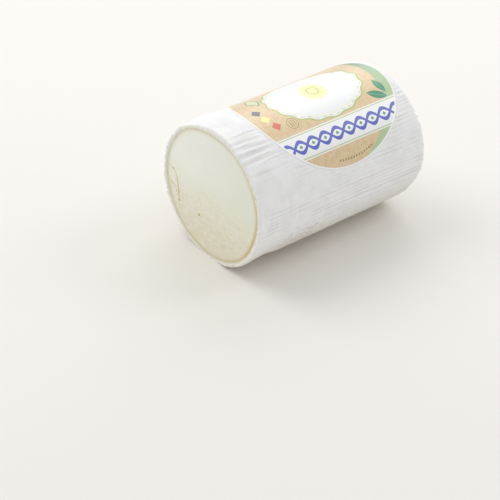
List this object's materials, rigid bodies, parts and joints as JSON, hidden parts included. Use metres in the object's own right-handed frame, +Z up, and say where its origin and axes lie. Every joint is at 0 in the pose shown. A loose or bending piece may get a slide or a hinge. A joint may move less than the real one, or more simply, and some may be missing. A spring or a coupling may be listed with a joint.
{
  "type": "goat cheese log",
  "caption": "Log of aged goat cheese lying on its side, with a ridged white rind, an end cut flat to show the pale paste, and a round paper label wrapped over its top.",
  "frame": {"origin": "on the surface the log rests on, under the middle of the log", "axes": "+Z up, the log's axis along Y with the cut face towards -Y, +X to the right of someone facing the cut"},
  "size_m": [0.0858, 0.1268, 0.0847],
  "materials": {
    "cheese": "matte white rind over a pale cream paste",
    "label_paper": "printed kraft paper with a faint sheen"
  },
  "bodies": {
    "root": {"cheese": "cheese", "label": "label_paper"}
  },
  "joints": []
}
